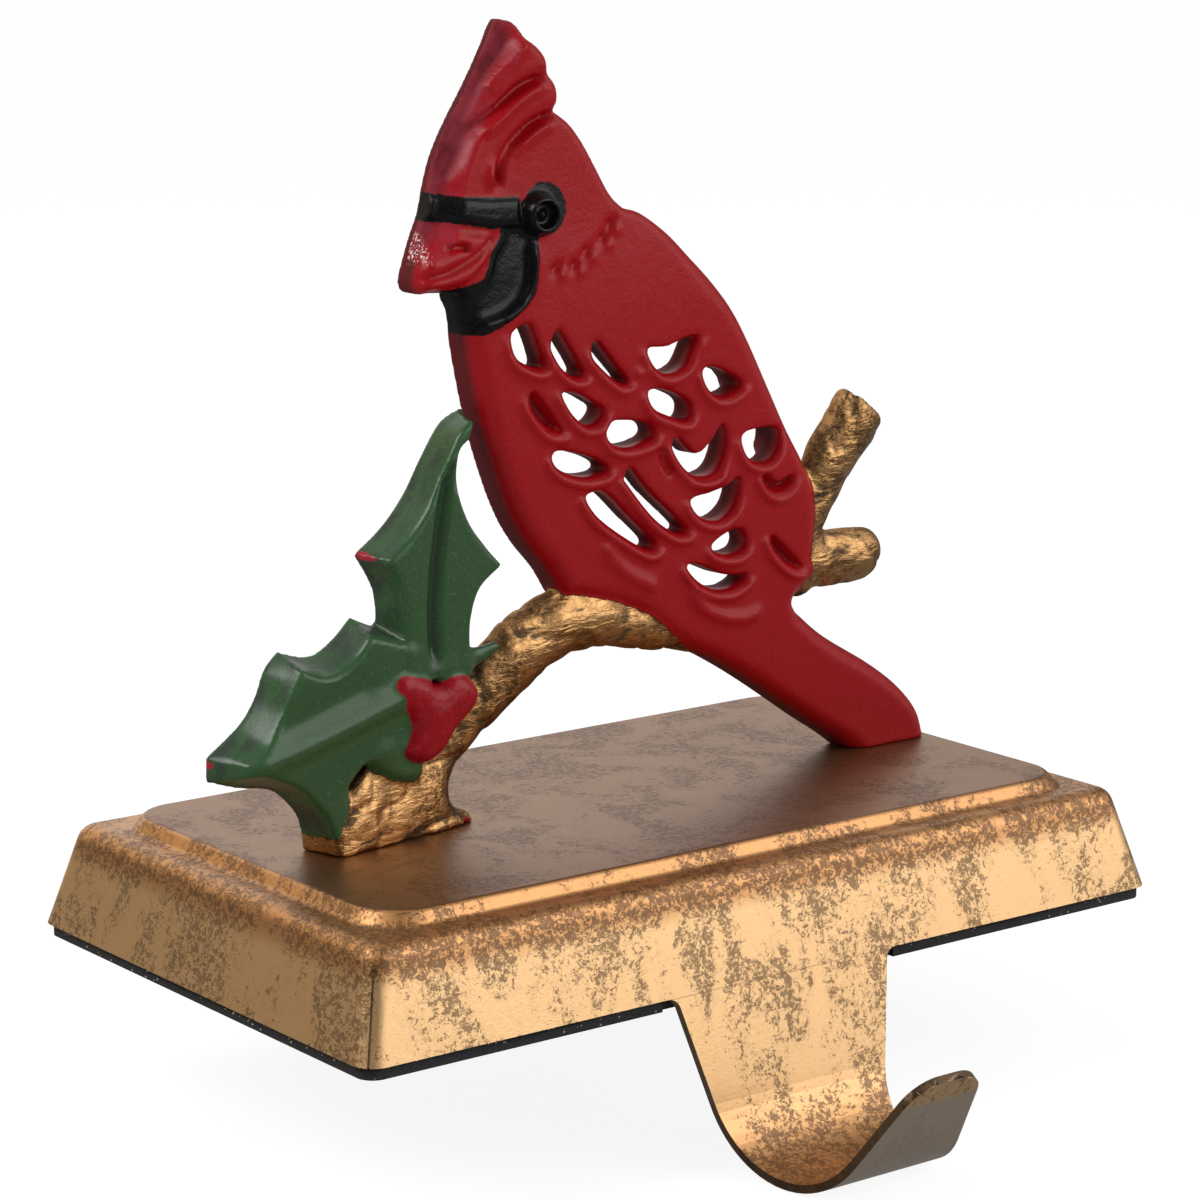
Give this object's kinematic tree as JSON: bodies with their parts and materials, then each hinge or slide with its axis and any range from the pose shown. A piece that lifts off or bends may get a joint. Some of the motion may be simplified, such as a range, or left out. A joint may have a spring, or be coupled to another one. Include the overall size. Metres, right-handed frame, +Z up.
{
  "type": "mantel stocking holder",
  "caption": "Weighted sheet-metal mantel holder with a forward-curling hook tongue and a painted cast cardinal on a holly branch.",
  "frame": {"origin": "centre of the pad's underside, where the holder rests on the mantel", "axes": "+X runs along the front edge to the right, -Y is the front with the hook, +Z is up"},
  "size_m": [0.152, 0.1283, 0.1657],
  "materials": {
    "antique_gold_steel": "satin antique gold with sponged dark brown patina",
    "painted_casting": "satin red paint, with black mask, green leaves and gold branch",
    "iron_weight": "rough as cast",
    "foam_pad": "matt grainy foam",
    "steel_screws": "zinc plated"
  },
  "bodies": {
    "root": {"base_shell": "antique_gold_steel", "cardinal_casting": "painted_casting", "base_weight": "iron_weight", "foot_pad": "foam_pad", "casting_screws": "steel_screws"}
  },
  "joints": []
}
